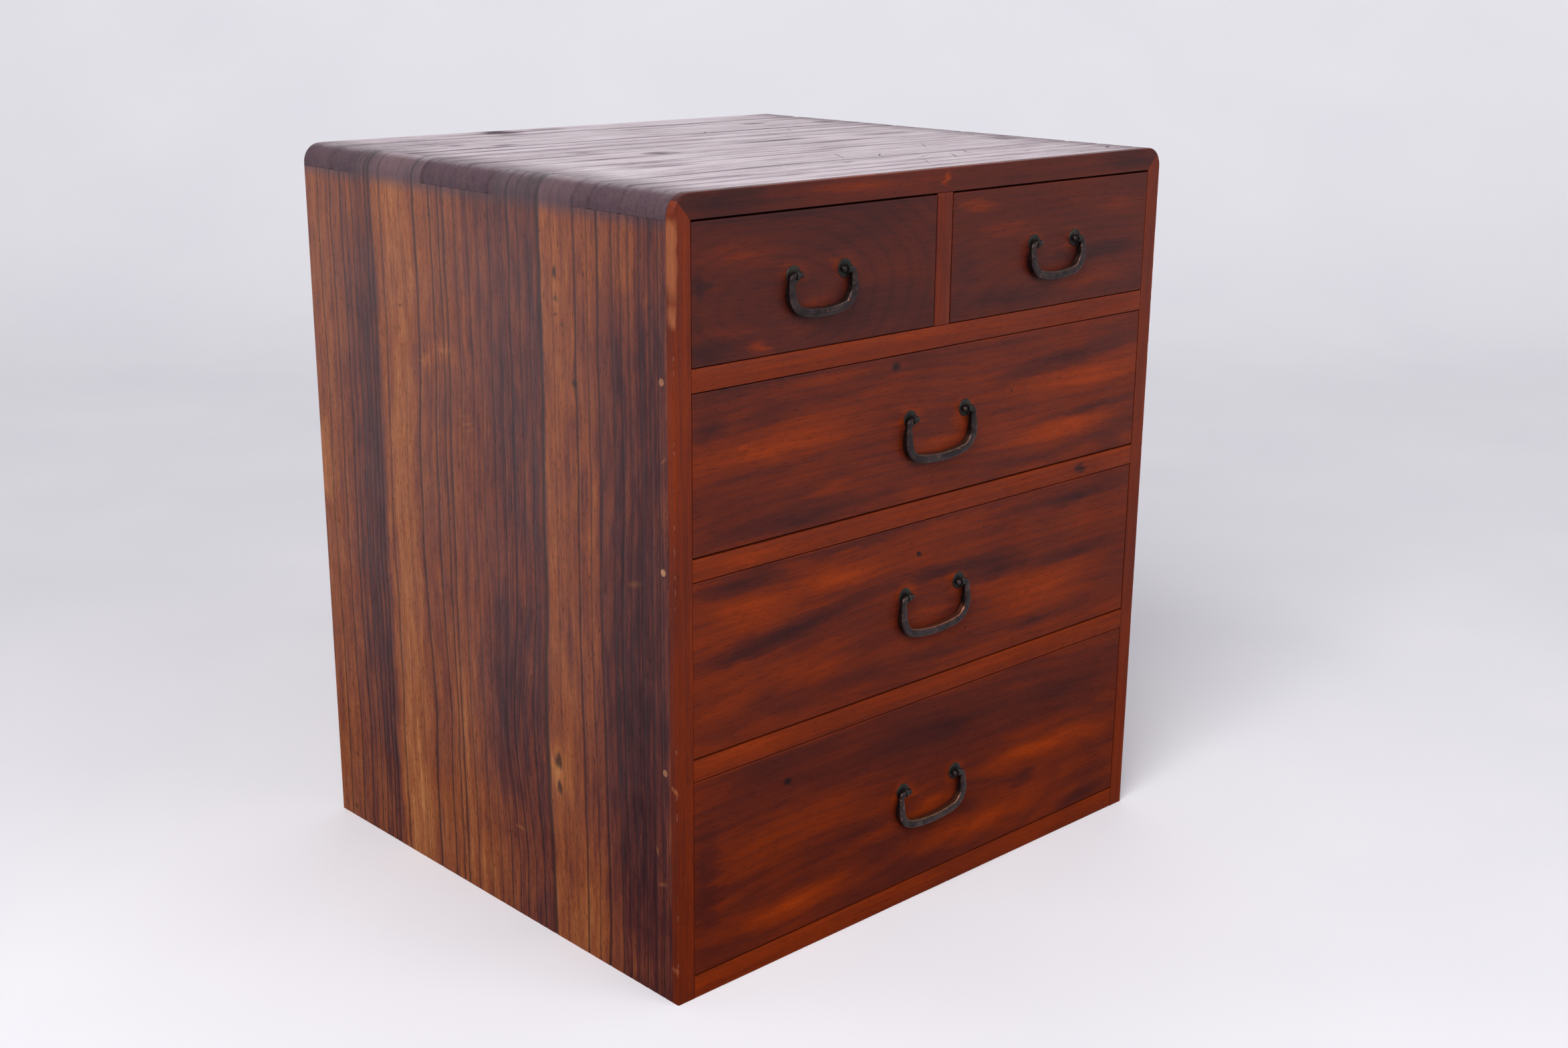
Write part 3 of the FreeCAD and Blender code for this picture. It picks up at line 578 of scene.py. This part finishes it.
def makeIron(name, stops, rough, brown=None):
    # wrought iron, waxed black: satin dark grey-brown, rust showing where it lies level
    material, tree, shader, place = startMaterial(name, Metallic=0.85)
    add = partial(addNode, tree)
    iron = ironLook
    stain = add("TexNoise", {"Vector": place, "Scale": iron["stainScale"], "Detail": 5.0})
    colour = setStops(add("ValToRGB", [stain]), stops)
    if brown:
        strength, rustColour, neckHeight = brown
        fleck = add("TexNoise", {"Vector": place, "Scale": iron["fleckScale"], "Detail": 3.0})
        facing = add("TexCoord", out="Normal")
        level = add("SeparateXYZ", [facing], out="Z")
        level = add("Math", (fleck, iron["fleckLift"], level), "MULTIPLY_ADD")
        level = add("MapRange", between(level, iron["levelReads"], (0.0, strength)), **smooth)
        below = add("SeparateXYZ", [place], out="Z")
        below = add("MapRange", between(below, [neckHeight + lower for lower in iron["neck"]], (1.0, 0.0)))
        level = add("Math", (level, below), "MULTIPLY")
        colour = addStain(tree, colour, level, rustColour)
        colour = addStain(tree, colour, fleck, "#8a5a40", iron["spotReads"], iron["spots"])
    tree.links.new(colour, shader.inputs["Base Color"])
    dull = add("MapRange", between(stain, iron["dullReads"], rough))
    tree.links.new(dull, shader.inputs["Roughness"])
    pits = add("TexNoise", {"Vector": place, "Scale": iron["pitScale"], "Detail": 4.0})
    normal = add("Bump", {"Height": pits, "Distance": iron["pitDepth"] * mm})
    tree.links.new(normal, shader.inputs["Normal"])
    return material


bailMaterials = {}
for drawer, brown in bailBrowns.items():
    low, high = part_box(drawer + "_bail")
    bailMaterials[drawer] = makeIron(
        "forged iron bail " + drawer.replace("_", " "),
        [(0.3, "#1f1818"), (0.45, "#2a2122"), (0.6, "#372c2c"), (0.75, "#453733")], (0.40, 0.26),
        brown + (high.z / mm,))
plateMaterial = makeIron("forged iron plate", [(0.3, "#211f1e"), (0.5, "#2e2c29"), (0.7, "#3c3833")],
                         (0.62, 0.5))
print("materials made:", len(bpy.data.materials))


# Which material each node takes

def materialFor(node):
    slot = slotOf[node]
    if slot == "front_hardwood":
        return frontMaterials[node.replace("_drawer_front", "")]
    if slot == "facing_hardwood":
        if node == "top_rail":
            return topRailMaterial
        return railMaterial if node.endswith("rail") else stileMaterial
    if slot == "forged_iron":
        return bailMaterials[node.replace("_bail", "")] if node.endswith("_bail") else plateMaterial
    if slot == "peg_wood":
        return pegMaterial
    if slot == "stained_softwood":
        return {"left_side": leftSideMaterial, "right_side": rightSideMaterial,
                "top_board": topMaterial}[node]
    if node.startswith("back_board"):
        return innerUpright
    if node == "partition" or node.endswith(("left_side", "right_side")):
        return innerAcrossY
    if node.endswith("drawer_back"):
        return innerAcrossX
    return innerFlatX


for nodeName, node in nodes.items():
    node.data.materials.clear()
    node.data.materials.append(materialFor(nodeName))
print("materials on the carried-over nodes")


# Making a piece that stands for a node

def mergedCopy(nodeName, flatAngle=0.5, mergeDistance=0.005):
    bm = bmesh.new()
    bm.from_mesh(nodes[nodeName].data)
    bmesh.ops.remove_doubles(bm, verts=bm.verts, dist=mergeDistance * mm)
    bmesh.ops.dissolve_limit(bm, angle_limit=math.radians(flatAngle), verts=bm.verts, edges=bm.edges)
    bm.normal_update()
    return bm


def addObject(name, data):
    made = bpy.data.objects.new(name, data)
    bpy.context.scene.collection.objects.link(made)
    return made


def addPiece(bm, name):
    mesh = bpy.data.meshes.new(name)
    bm.to_mesh(mesh)
    bm.free()
    if "custom_normal" in mesh.attributes:
        mesh.attributes.remove(mesh.attributes["custom_normal"])
    return addObject(name, mesh)


def startTree(name, sizes):
    # a tree with a named input for each size
    tree = bpy.data.node_groups.new(name, "GeometryNodeTree")
    for way in ("INPUT", "OUTPUT"):
        tree.interface.new_socket("Geometry", in_out=way, socket_type="NodeSocketGeometry")
    for label, size in sizes.items():
        socket = tree.interface.new_socket(label, in_out="INPUT", socket_type="NodeSocketFloat")
        socket.default_value = size
    given = addNode(tree, "NodeGroupInput").node.outputs
    place = addNode(tree, "GeometryNodeInputPosition")
    place = addNode(tree, "VectorMath", {0: place, "Scale": 1 / mm}, "SCALE")
    return tree, given, place


def finishTree(tree, geometry, material):
    geometry = addNode(tree, "GeometryNodeRealizeInstances", [geometry])
    geometry = addNode(tree, "GeometryNodeSetMaterial", {0: geometry, "Material": material})
    addNode(tree, "NodeGroupOutput", [geometry], out=None)
    return tree


def runModifiers(piece, sharpAngle):
    # turns what the modifiers make into the piece's own plain mesh
    graph = bpy.context.evaluated_depsgraph_get()
    made = bpy.data.meshes.new_from_object(piece.evaluated_get(graph), preserve_all_data_layers=True,
                                           depsgraph=graph)
    piece.modifiers.clear()
    piece.data = made
    made.shade_smooth()
    made.set_sharp_from_angle(angle=math.radians(sharpAngle))


def runTree(piece, tree, sizes, sharpAngle=38):
    modifier = piece.modifiers.new(tree.name, "NODES")
    modifier.node_group = tree
    for item in tree.interface.items_tree:
        if item.in_out == "INPUT" and item.name in sizes:
            modifier[item.identifier] = sizes[item.name]
    runModifiers(piece, sharpAngle)


def standFor(piece, nodeName):
    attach(piece, bodyOf[nodeName])
    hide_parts(nodeName)


# Side and top boards: cut into strips along their growth lines; a node tree lays the strips in gentle
# waves, sinks the lines and keeps each place's grain, line and tone

def spacedPlaces(wanted, low, high, step):
    # the wanted places, with more between them, none further apart than step
    places = sorted(place for place in wanted if low < place < high)
    filled = list(places)
    for start, end in zip([low] + places, places + [high]):
        count = math.ceil((end - start) / step)
        filled += [start + (end - start) * index / count for index in range(1, count)]
    return sorted(filled)


def cutSquare(bm, geometry, axis, places):
    direction = Vector([float(letter == axis) for letter in "XYZ"])
    for place in places:
        cut = bmesh.ops.bisect_plane(bm, geom=geometry, dist=1e-7, plane_co=direction * place * mm,
                                     plane_no=direction)
        geometry = cut["geom"]
    return geometry


def around(faces):
    return faces + list({edge for face in faces for edge in face.edges}) \
        + list({vert for face in faces for vert in face.verts})


# noise sizes in mm; the bands cross this half depth in mm
grainLook = {
    "layers": {"slow": (0, 1, 0.5), "quick": (5, 1, 0.5), "feather": (3, 3, 0.6), "ripple": (9, 2, 0.5)},
    "slowSize": (170, 90, 90), "quickSize": (38, 26, 26), "featherSize": (46, 7, 7),
    "rippleSize": (60, 2.4, 2.4), "quickShare": 0.34, "halfDepth": 181,
}


def inwards(tree, depth):
    # the move that takes a surface this many mm into its piece
    normal = addNode(tree, "GeometryNodeInputNormal")
    depth = addNode(tree, "Math", (depth, -mm), "MULTIPLY")
    return addNode(tree, "VectorMath", {0: normal, "Scale": depth}, "SCALE")


def makeGrainTree(name, board, material):
    tree, given, place = startTree(name, board["sizes"])
    add = partial(addNode, tree)
    split = add("SeparateXYZ", [place]).node.outputs
    along, across = split[board["along"]], split["Y"]
    flat = add("CombineXYZ", (along, across))
    look = dict(grainLook, seed=board["seed"])
    slow, quick, feather, ripple = (addLayer(tree, flat, look, layer) for layer in look["layers"])

    shift = add("Math", (quick, look["quickShare"], slow), "MULTIPLY_ADD")
    shift = add("Math", (shift, -0.5 - look["quickShare"] / 2), "ADD")
    shift = add("Math", (shift, given["Wander"]), "MULTIPLY")
    for leanAlong, leanAcross, halfLength, halfWidth, amount in board["leans"]:
        local = add("VectorMath", (flat, (leanAlong, leanAcross, 0)), "SUBTRACT")
        local = add("VectorMath", (local, (1 / halfLength, 1 / halfWidth, 0)), "MULTIPLY")
        oval = add("TexGradient", [local], out="Fac", gradient_type="SPHERICAL")
        oval = add("MapRange", [oval], **smooth)
        shift = add("Math", (oval, amount, shift), "MULTIPLY_ADD")
    # the strips lie still beside joints, pegs and edges
    for axis, still, free in board["holds"]:
        loose = add("MapRange", between(split[axis], (still, free)), **smooth)
        shift = add("Math", (shift, loose), "MULTIPLY")

    line = 0.0
    for middle, halfWidth, depth in board["lines"]:
        off = add("Math", (across, -middle), "ADD")
        off = add("Math", [off], "ABSOLUTE")
        near = add("MapRange", between(off, (0.0, halfWidth), (depth, 0.0)))
        line = add("Math", (near, line), "MAXIMUM")
    # the bands' borders feather in and out
    feather = add("Math", (feather, -0.5), "ADD")
    share = add("Math", (feather, given["Feather"], across), "MULTIPLY_ADD")
    half = look["halfDepth"]
    share = add("MapRange", between(share, (half, -half)))
    tone = setStops(add("ValToRGB", [share]),
                    [((half - y) / (2 * half), value) for y, value in board["bands"]])

    sunk = add("Math", (ripple, given["Ripple"]), "MULTIPLY")
    sunk = add("Math", (line, given["Groove depth"], sunk), "MULTIPLY_ADD")
    sideways = add("Math", (shift, mm), "MULTIPLY")
    sideways = add("CombineXYZ", {1: sideways})
    offset = add("VectorMath", (inwards(tree, sunk), sideways), "ADD")
    outer = add("GeometryNodeInputNamedAttribute", {"Name": "outer"})
    outer = add("FunctionNodeCompare", (outer, 0.5), "GREATER_THAN")

    geometry = given["Geometry"]
    for label, value in (("grain", across), ("line", line), ("tone", tone)):
        geometry = add("GeometryNodeStoreNamedAttribute", {0: geometry, "Name": label, "Value": value})
    geometry = add("GeometryNodeSetPosition", {0: geometry, "Selection": outer, "Offset": offset})
    return finishTree(tree, geometry, material)


def makeBoard(nodeName, board, material):
    bm = mergedCopy(nodeName)
    faces = [face for face in bm.faces if board["isOuter"](face.normal, face.calc_center_median() / mm)]
    for face in faces:
        face.material_index = 1
    edges = [middle + part * halfWidth for middle, halfWidth, depth in board["lines"] for part in (-1, 0, 1)]
    low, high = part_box(nodeName)
    geometry = cutSquare(bm, around(faces), "Y",
                         spacedPlaces(edges, low.y / mm, high.y / mm, board["acrossStep"]))
    alongLow, alongHigh = board["alongSpan"]
    cutSquare(bm, geometry, board["along"], spacedPlaces([], alongLow, alongHigh, board["alongStep"]))
    outer = bm.verts.layers.float.new("outer")
    for vert in bm.verts:
        vert[outer] = float(any(face.material_index == 1 for face in vert.link_faces))
    piece = addPiece(bm, nodeName + "_grained")
    runTree(piece, makeGrainTree(nodeName + " grain", board, material), board["sizes"])
    standFor(piece, nodeName)
    print(piece.name, "has", len(piece.data.polygons), "faces")


# least slope of an outer face, and of a joint's end grain past this height or reach in mm
outerFaces = {"slope": 0.05, "endSlope": 0.3, "endHeight": 455, "endReach": 204.5}


def isOuter(slope, normal, centre):
    isEnd = normal.z > outerFaces["endSlope"] and centre.z > outerFaces["endHeight"]
    return slope > outerFaces["slope"] or isEnd


leftBoard = {
    "along": "Z", "lines": sideLines, "bands": sideBands, "seed": 12.0,
    "sizes": {"Wander": 9.0, "Groove depth": 0.16, "Ripple": 0.08, "Feather": 10.0},
    "holds": [("Y", -163, -140), ("Y", 177, 165), ("Z", 436, 410)],
    # where growth lines lean together: (z, y, half length, half width, shift in y)
    "leans": [
        (130, -44, 100, 46, 9.0), (250, 60, 120, 40, 3.5), (110, 50, 60, 30, -4.0), (330, 12, 90, 30, -3.0)],
    "isOuter": lambda normal, centre: isOuter(-normal.x, normal, centre),
    "acrossStep": 3.6, "alongStep": 9.0, "alongSpan": (0, 442),
}
rightBoard = dict(
    leftBoard, seed=47.0, lines=[(-y * 0.97 + 2, halfWidth, depth) for y, halfWidth, depth in sideLines[1:]],
    bands=[(181, 0.3)] + [(-y, tone) for y, tone in reversed(sideBands[1:-1])] + [(-181, 0.5)],
    leans=[(200, 40, 110, 50, 9.0), (90, -60, 70, 40, -6.0)],
    isOuter=lambda normal, centre: isOuter(normal.x, normal, centre),
)
topBoard = {
    "along": "X", "lines": topLines, "seed": 83.0, "bands": [
        (181, 0.4), (150, 0.3), (140, 0.55), (80, 0.45), (20, 0.55), (-60, 0.5), (-120, 0.45), (-181, 0.5)],
    "sizes": {"Wander": 6.0, "Groove depth": 0.35, "Ripple": 0.16, "Feather": 14.0},
    "holds": [("X", -190, -160), ("X", 190, 160), ("Y", -172, -150), ("Y", 178, 160)],
    "leans": [(-20, -112, 120, 30, 4.0), (60, 140, 90, 20, -4.0)],
    "isOuter": lambda normal, centre: (
        normal.z > outerFaces["slope"] or abs(centre.x) > outerFaces["endReach"]),
    "acrossStep": 3.0, "alongStep": 9.0, "alongSpan": (-193, 193),
}
makeBoard("left_side", leftBoard, leftSideMaterial)
makeBoard("right_side", rightBoard, rightSideMaterial)
makeBoard("top_board", topBoard, topMaterial)


# Facing strips: eased edges, rubbed and chipped by knocks

stripWear = {"Chip depth": 0.9, "Chip size": 4.5, "Rub": 0.14}
# noise that knocks and rubs the edges; places in mm
knocks = {"reads": (0.6, 0.7), "rubScale": 0.03}
stripCuts = {"step": 2.5, "easing": 0.35, "segments": 2, "innerWear": 0.15, "facing": (0.15, 0.97),
             "frontPlace": -178.5, "outerPlace": 203.5}


def makeWearTree(material, name):
    tree, given, place = startTree(name, stripWear)
    add = partial(addNode, tree)
    arris = add("GeometryNodeInputNamedAttribute", {"Name": "arris"})
    local = add("VectorMath", (place, given["Chip size"]), "DIVIDE")
    knock = add("TexNoise", {"Vector": local, "Scale": 1.0, "Detail": 1.5})
    chip = add("MapRange", between(knock, knocks["reads"]), **smooth)
    chip = add("Math", (chip, arris), "MULTIPLY")
    rubbed = add("TexNoise", {"Vector": place, "Scale": knocks["rubScale"], "Detail": 1.0})
    sunk = add("Math", (rubbed, given["Rub"]), "MULTIPLY")
    sunk = add("Math", (chip, given["Chip depth"], sunk), "MULTIPLY_ADD")
    geometry = add("GeometryNodeStoreNamedAttribute", {0: given["Geometry"], "Name": "chip", "Value": chip})
    geometry = add("GeometryNodeSetPosition", {0: geometry, "Offset": inwards(tree, sunk)})
    return finishTree(tree, geometry, material)


def makeStrip(nodeName, tree):
    bm = mergedCopy(nodeName)
    if len(bm.faces) == 6:
        bmesh.ops.bevel(bm, geom=bm.edges[:], offset=stripCuts["easing"] * mm, affect="EDGES",
                        segments=stripCuts["segments"], profile=0.5)
        bm.normal_update()
    least, most = stripCuts["facing"]
    for face in bm.faces:
        rounded = least < -face.normal.y < most
        face.material_index = int(rounded and face.calc_center_median().y < stripCuts["frontPlace"] * mm)
    low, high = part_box(nodeName)
    axis = "Z" if high.z - low.z > high.x - low.x else "X"
    start, end = (low.z, high.z) if axis == "Z" else (low.x, high.x)
    cutSquare(bm, around(bm.faces[:]), axis, spacedPlaces([], start / mm, end / mm, stripCuts["step"]))
    arris = bm.verts.layers.float.new("arris")
    for vert in bm.verts:
        onEdge = any(face.material_index == 1 for face in vert.link_faces)
        outermost = abs(vert.co.x) > stripCuts["outerPlace"] * mm
        vert[arris] = float(onEdge) * (1.0 if outermost else stripCuts["innerWear"])
    piece = addPiece(bm, nodeName + "_worn")
    runTree(piece, tree, stripWear)
    standFor(piece, nodeName)


wearTrees = {material.name: makeWearTree(material, material.name + " wear")
             for material in (railMaterial, topRailMaterial, stileMaterial)}
for nodeName in slotOf:
    if slotOf[nodeName] == "facing_hardwood":
        makeStrip(nodeName, wearTrees[materialFor(nodeName).name])
print("facing strips made")


# Bails: forged by hand, so nowhere quite straight, round or even

bailForging = {"Dent": 0.24, "Dent size": 4.2, "Wave": 0.24, "Wave size": 14.0, "Swell": 0.32}
bailSkin = {"voxel": 0.3, "smoothing": 3, "share": 0.5, "flatAngle": 0.01}


def makeForgeTree(material):
    tree, given, place = startTree(material.name + " hammer marks", bailForging)
    add = partial(addNode, tree)
    local = add("VectorMath", (place, given["Dent size"]), "DIVIDE")
    dent = add("TexVoronoi", {"Vector": local, "Scale": 1.0}, feature="SMOOTH_F1")
    local = add("VectorMath", (place, given["Wave size"]), "DIVIDE")
    wave = add("TexNoise", {"Vector": local, "Scale": 1.0, "Detail": 1.0})
    sunk = add("Math", (dent, given["Dent"]), "MULTIPLY")
    sunk = add("Math", (wave, given["Wave"], sunk), "MULTIPLY_ADD")
    sunk = add("Math", (sunk, given["Swell"]), "SUBTRACT")
    geometry = add("GeometryNodeSetPosition", {0: given["Geometry"], "Offset": inwards(tree, sunk)})
    return finishTree(tree, geometry, material)


def makeBail(drawer):
    nodeName = drawer + "_bail"
    piece = addPiece(mergedCopy(nodeName, bailSkin["flatAngle"]), nodeName + "_forged")
    remesh = piece.modifiers.new("even skin", "REMESH")
    remesh.mode = "VOXEL"
    remesh.voxel_size = bailSkin["voxel"] * mm
    soften = piece.modifiers.new("smoothing", "SMOOTH")
    soften.factor = bailSkin["share"]
    soften.iterations = bailSkin["smoothing"]
    runTree(piece, makeForgeTree(bailMaterials[drawer]), bailForging, 180)
    standFor(piece, nodeName)
    print(piece.name, "has", len(piece.data.polygons), "faces")


for drawer in drawerNames:
    makeBail(drawer)


# Floor and backdrop, one pale sheet that curves up behind, square to the view
stageSizes = {"front": -4.0, "back": 2.6, "curve": 1.2, "height": 5.0, "halfWidth": 5.0, "steps": 12}
# mm from the object where the wood's warm light ends and where the sheet is lifted
stageTones = {"warm": (400, 900), "lifted": (900, 3000), "lift": 0.22, "cloudScale": 0.004}
photoCamera = {"place": (-0.8262, -0.9166, 0.5675), "azimuth": -43.56, "elevation": 16.36, "roll": 0.476,
               "lens": 43.89, "sensor": 36.0}


def addPaleRays(tree):
    # 1 for what the eye sees, straight on, in a mirror or through glass
    rays = addNode(tree, "LightPath").node.outputs
    seen = addNode(tree, "Math", (rays["Is Camera Ray"], rays["Is Glossy Ray"]), "MAXIMUM")
    return addNode(tree, "Math", (seen, rays["Is Transmission Ray"]), "MAXIMUM")


def makeStage():
    s = stageSizes
    profile = [(s["front"], 0.0), (s["back"] - s["curve"], 0.0)]
    for step in range(1, s["steps"] + 1):
        turn = math.pi / 2 * step / s["steps"]
        profile.append((s["back"] - s["curve"] * (1 - math.sin(turn)), s["curve"] * (1 - math.cos(turn))))
    profile.append((s["back"], s["height"]))
    places = [(x, y, z) for y, z in profile for x in (-s["halfWidth"], s["halfWidth"])]
    mesh = bpy.data.meshes.new("floor")
    mesh.from_pydata(places, [], [(n, n + 1, n + 3, n + 2) for n in range(0, len(places) - 2, 2)])
    mesh.shade_smooth()
    mesh.transform(Matrix.Rotation(math.radians(photoCamera["azimuth"]), 4, "Z"))
    # matt paper, pale to the eye; the light it throws back is dimmer, and warm close to the wood
    paper = {"Specular IOR Level": 0.1, "Roughness": 0.9}
    material, tree, shader, place = startMaterial("matt paper", **paper)
    add = partial(addNode, tree)
    tone = add("TexNoise", {"Vector": place, "Scale": stageTones["cloudScale"]})
    pale = setStops(add("ValToRGB", [tone]), [(0.3, "#ebeaee"), (0.7, "#f0eff2")])
    away = add("VectorMath", [place], "LENGTH", out="Value")
    cool = add("MapRange", between(away, stageTones["warm"]), **smooth)
    dim = addStain(tree, hexColour("#8a6751"), cool, "#a3a0a8")
    seen = addPaleRays(tree)
    tree.links.new(addStain(tree, dim, seen, pale), shader.inputs["Base Color"])
    # the far part of the sheet stays as pale as the near one
    far = add("MapRange", between(away, stageTones["lifted"], (0.0, stageTones["lift"])))
    far = add("Math", (far, seen), "MULTIPLY")
    tree.links.new(far, shader.inputs["Emission Strength"])
    shader.inputs["Emission Color"].default_value = hexColour("#f0eff2")
    mesh.materials.append(material)
    addObject("floor", mesh)


def makeCamera():
    c = photoCamera
    data = bpy.data.cameras.new("camera")
    data.lens = c["lens"]
    data.sensor_width = c["sensor"]
    data.clip_start = 0.05
    turned = Matrix.Translation(c["place"])
    for angle, axis in ((c["azimuth"], "Z"), (90 - c["elevation"], "X"), (c["roll"], "Z")):
        turned = turned @ Matrix.Rotation(math.radians(angle), 4, axis)
    camera = addObject("camera", data)
    camera.matrix_world = turned
    bpy.context.scene.camera = camera


# place and target in metres, size, and power in watts
softboxes = {
    "key softbox": ((-1.7, -1.0, 2.1), (0, 0, 0.3), (1.6, 1.4), 62),
    "front fill": ((0.9, -2.8, 1.6), (0, 0, 0.25), (2.0, 1.6), 26),
    "back sheen": ((1.9, 2.0, 1.3), (0, 0, 0.4), (3.0, 1.4), 80),
}


def makeLight(name, place, target, size, power):
    data = bpy.data.lights.new(name, "AREA")
    data.shape = "RECTANGLE"
    data.size, data.size_y = size
    data.energy = power
    light = addObject(name, data)
    light.location = place
    light.rotation_euler = (Vector(target) - Vector(place)).to_track_quat("-Z", "Y").to_euler()
    light.visible_camera = False


makeStage()
makeCamera()
for name, softbox in softboxes.items():
    makeLight(name, *softbox)

world = bpy.data.worlds.new("soft light")
bpy.context.scene.world = world
world.use_nodes = True
sky = world.node_tree
tint = addStain(sky, hexColour("#a6a4ab"), addPaleRays(sky), "#f2f1f4")
sky.links.new(tint, sky.nodes["Background"].inputs["Color"])

bpy.context.scene.view_settings.view_transform = "Standard"
print("stage, camera and lights made")
